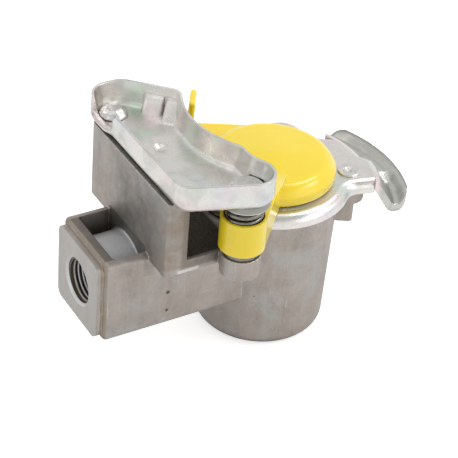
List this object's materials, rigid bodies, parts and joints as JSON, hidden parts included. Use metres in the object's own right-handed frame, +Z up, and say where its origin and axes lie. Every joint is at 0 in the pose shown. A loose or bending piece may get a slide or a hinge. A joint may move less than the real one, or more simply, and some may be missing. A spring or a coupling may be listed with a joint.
{
  "type": "gladhand air brake coupler",
  "caption": "Trailer air brake hose coupling head with a riveted claw and guide plate, a swivelling sprung dust cover, a sprung shut-off valve and a threaded side port.",
  "frame": {"origin": "centre of the cup's flat base", "axes": "+Z up through the coupling face, -X out of the threaded hose port"},
  "size_m": [0.124, 0.0776, 0.09],
  "materials": {
    "cast_aluminium": "die-cast, mottled, lightly tumbled",
    "zinc_plated_steel": "bright zinc plating",
    "rivet_steel": "plain bright steel",
    "spring_steel": "drawn wire, oiled",
    "yellow_plastic": "moulded, glossy",
    "machined_brass": "turned",
    "black_rubber": "moulded",
    "natural_plastic": "moulded"
  },
  "bodies": {
    "housing": {"body_casting": "cast_aluminium", "guide_plate": "zinc_plated_steel", "claw_plate": "zinc_plated_steel", "claw_rivet": "rivet_steel", "guide_rivet_wing": "rivet_steel", "guide_rivet_ear": "rivet_steel", "pivot_pin": "rivet_steel", "thrust_washer": "zinc_plated_steel", "valve_sleeve": "machined_brass", "sleeve_o_ring": "black_rubber", "stem_o_ring": "black_rubber", "retaining_ring": "spring_steel", "valve_spring": "spring_steel"},
    "cover_pivot": {"cover_spring": "spring_steel"},
    "cover": {"dust_cover": "yellow_plastic"},
    "valve": {"valve_plunger": "natural_plastic", "valve_seal": "black_rubber", "face_seal": "black_rubber"}
  },
  "joints": [
    {"name": "cover_swing", "type": "hinge", "parent": "housing", "child": "cover_pivot", "pos_m": [-0.0307, -0.0327, 0.065], "axis": [0, 0, -1], "range_deg": [0, 95]},
    {"name": "cover_lift", "type": "slide", "parent": "cover_pivot", "child": "cover", "axis": [0, 0, 1], "range_m": [0, 0.003], "stiffness_N_per_m": 1500, "springref_m": -0.004, "deforming": ["cover_spring"]},
    {"name": "valve_push", "type": "slide", "parent": "housing", "child": "valve", "axis": [0, 0, -1], "range_m": [0, 0.003], "stiffness_N_per_m": 3000, "springref_m": -0.003, "deforming": ["valve_spring"]}
  ]
}
